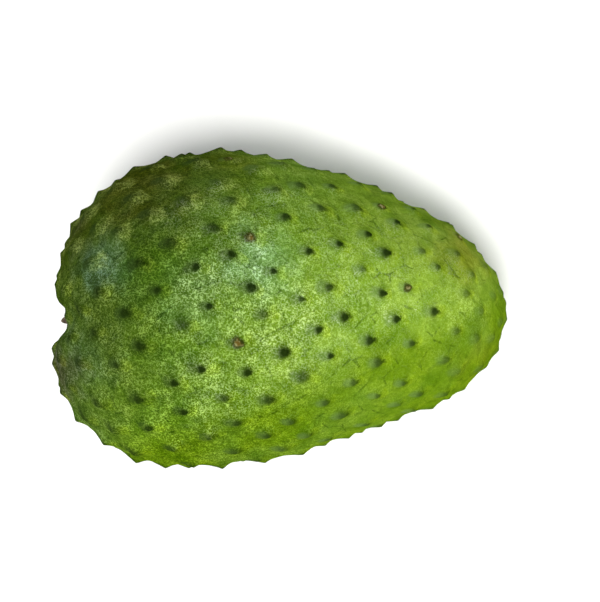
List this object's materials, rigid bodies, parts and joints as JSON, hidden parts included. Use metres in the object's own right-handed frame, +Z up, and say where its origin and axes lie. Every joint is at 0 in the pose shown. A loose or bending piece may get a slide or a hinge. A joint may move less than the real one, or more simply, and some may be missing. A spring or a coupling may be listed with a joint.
{
  "type": "soursop",
  "caption": "Whole picked soursop lying on its side: a blunt egg-shaped green fruit with soft leaning spines, a stem cavity and a short stalk stub.",
  "frame": {"origin": "on the surface that the fruit lies on, under the middle of its bounding box", "axes": "+X from the stem end to the blossom end, +Z up, +Y towards the flank whose outline is the flatter one"},
  "size_m": [0.1994, 0.1413, 0.1321],
  "materials": {
    "skin": "living fruit skin: satin, finely pebbled, dark green at the stem end and yellow green at the blossom end, dark spine tips",
    "stalk": "dry grey-brown bark, matt and rough"
  },
  "bodies": {
    "root": {"fruit": "skin", "stalk_stub": "stalk"}
  },
  "joints": []
}
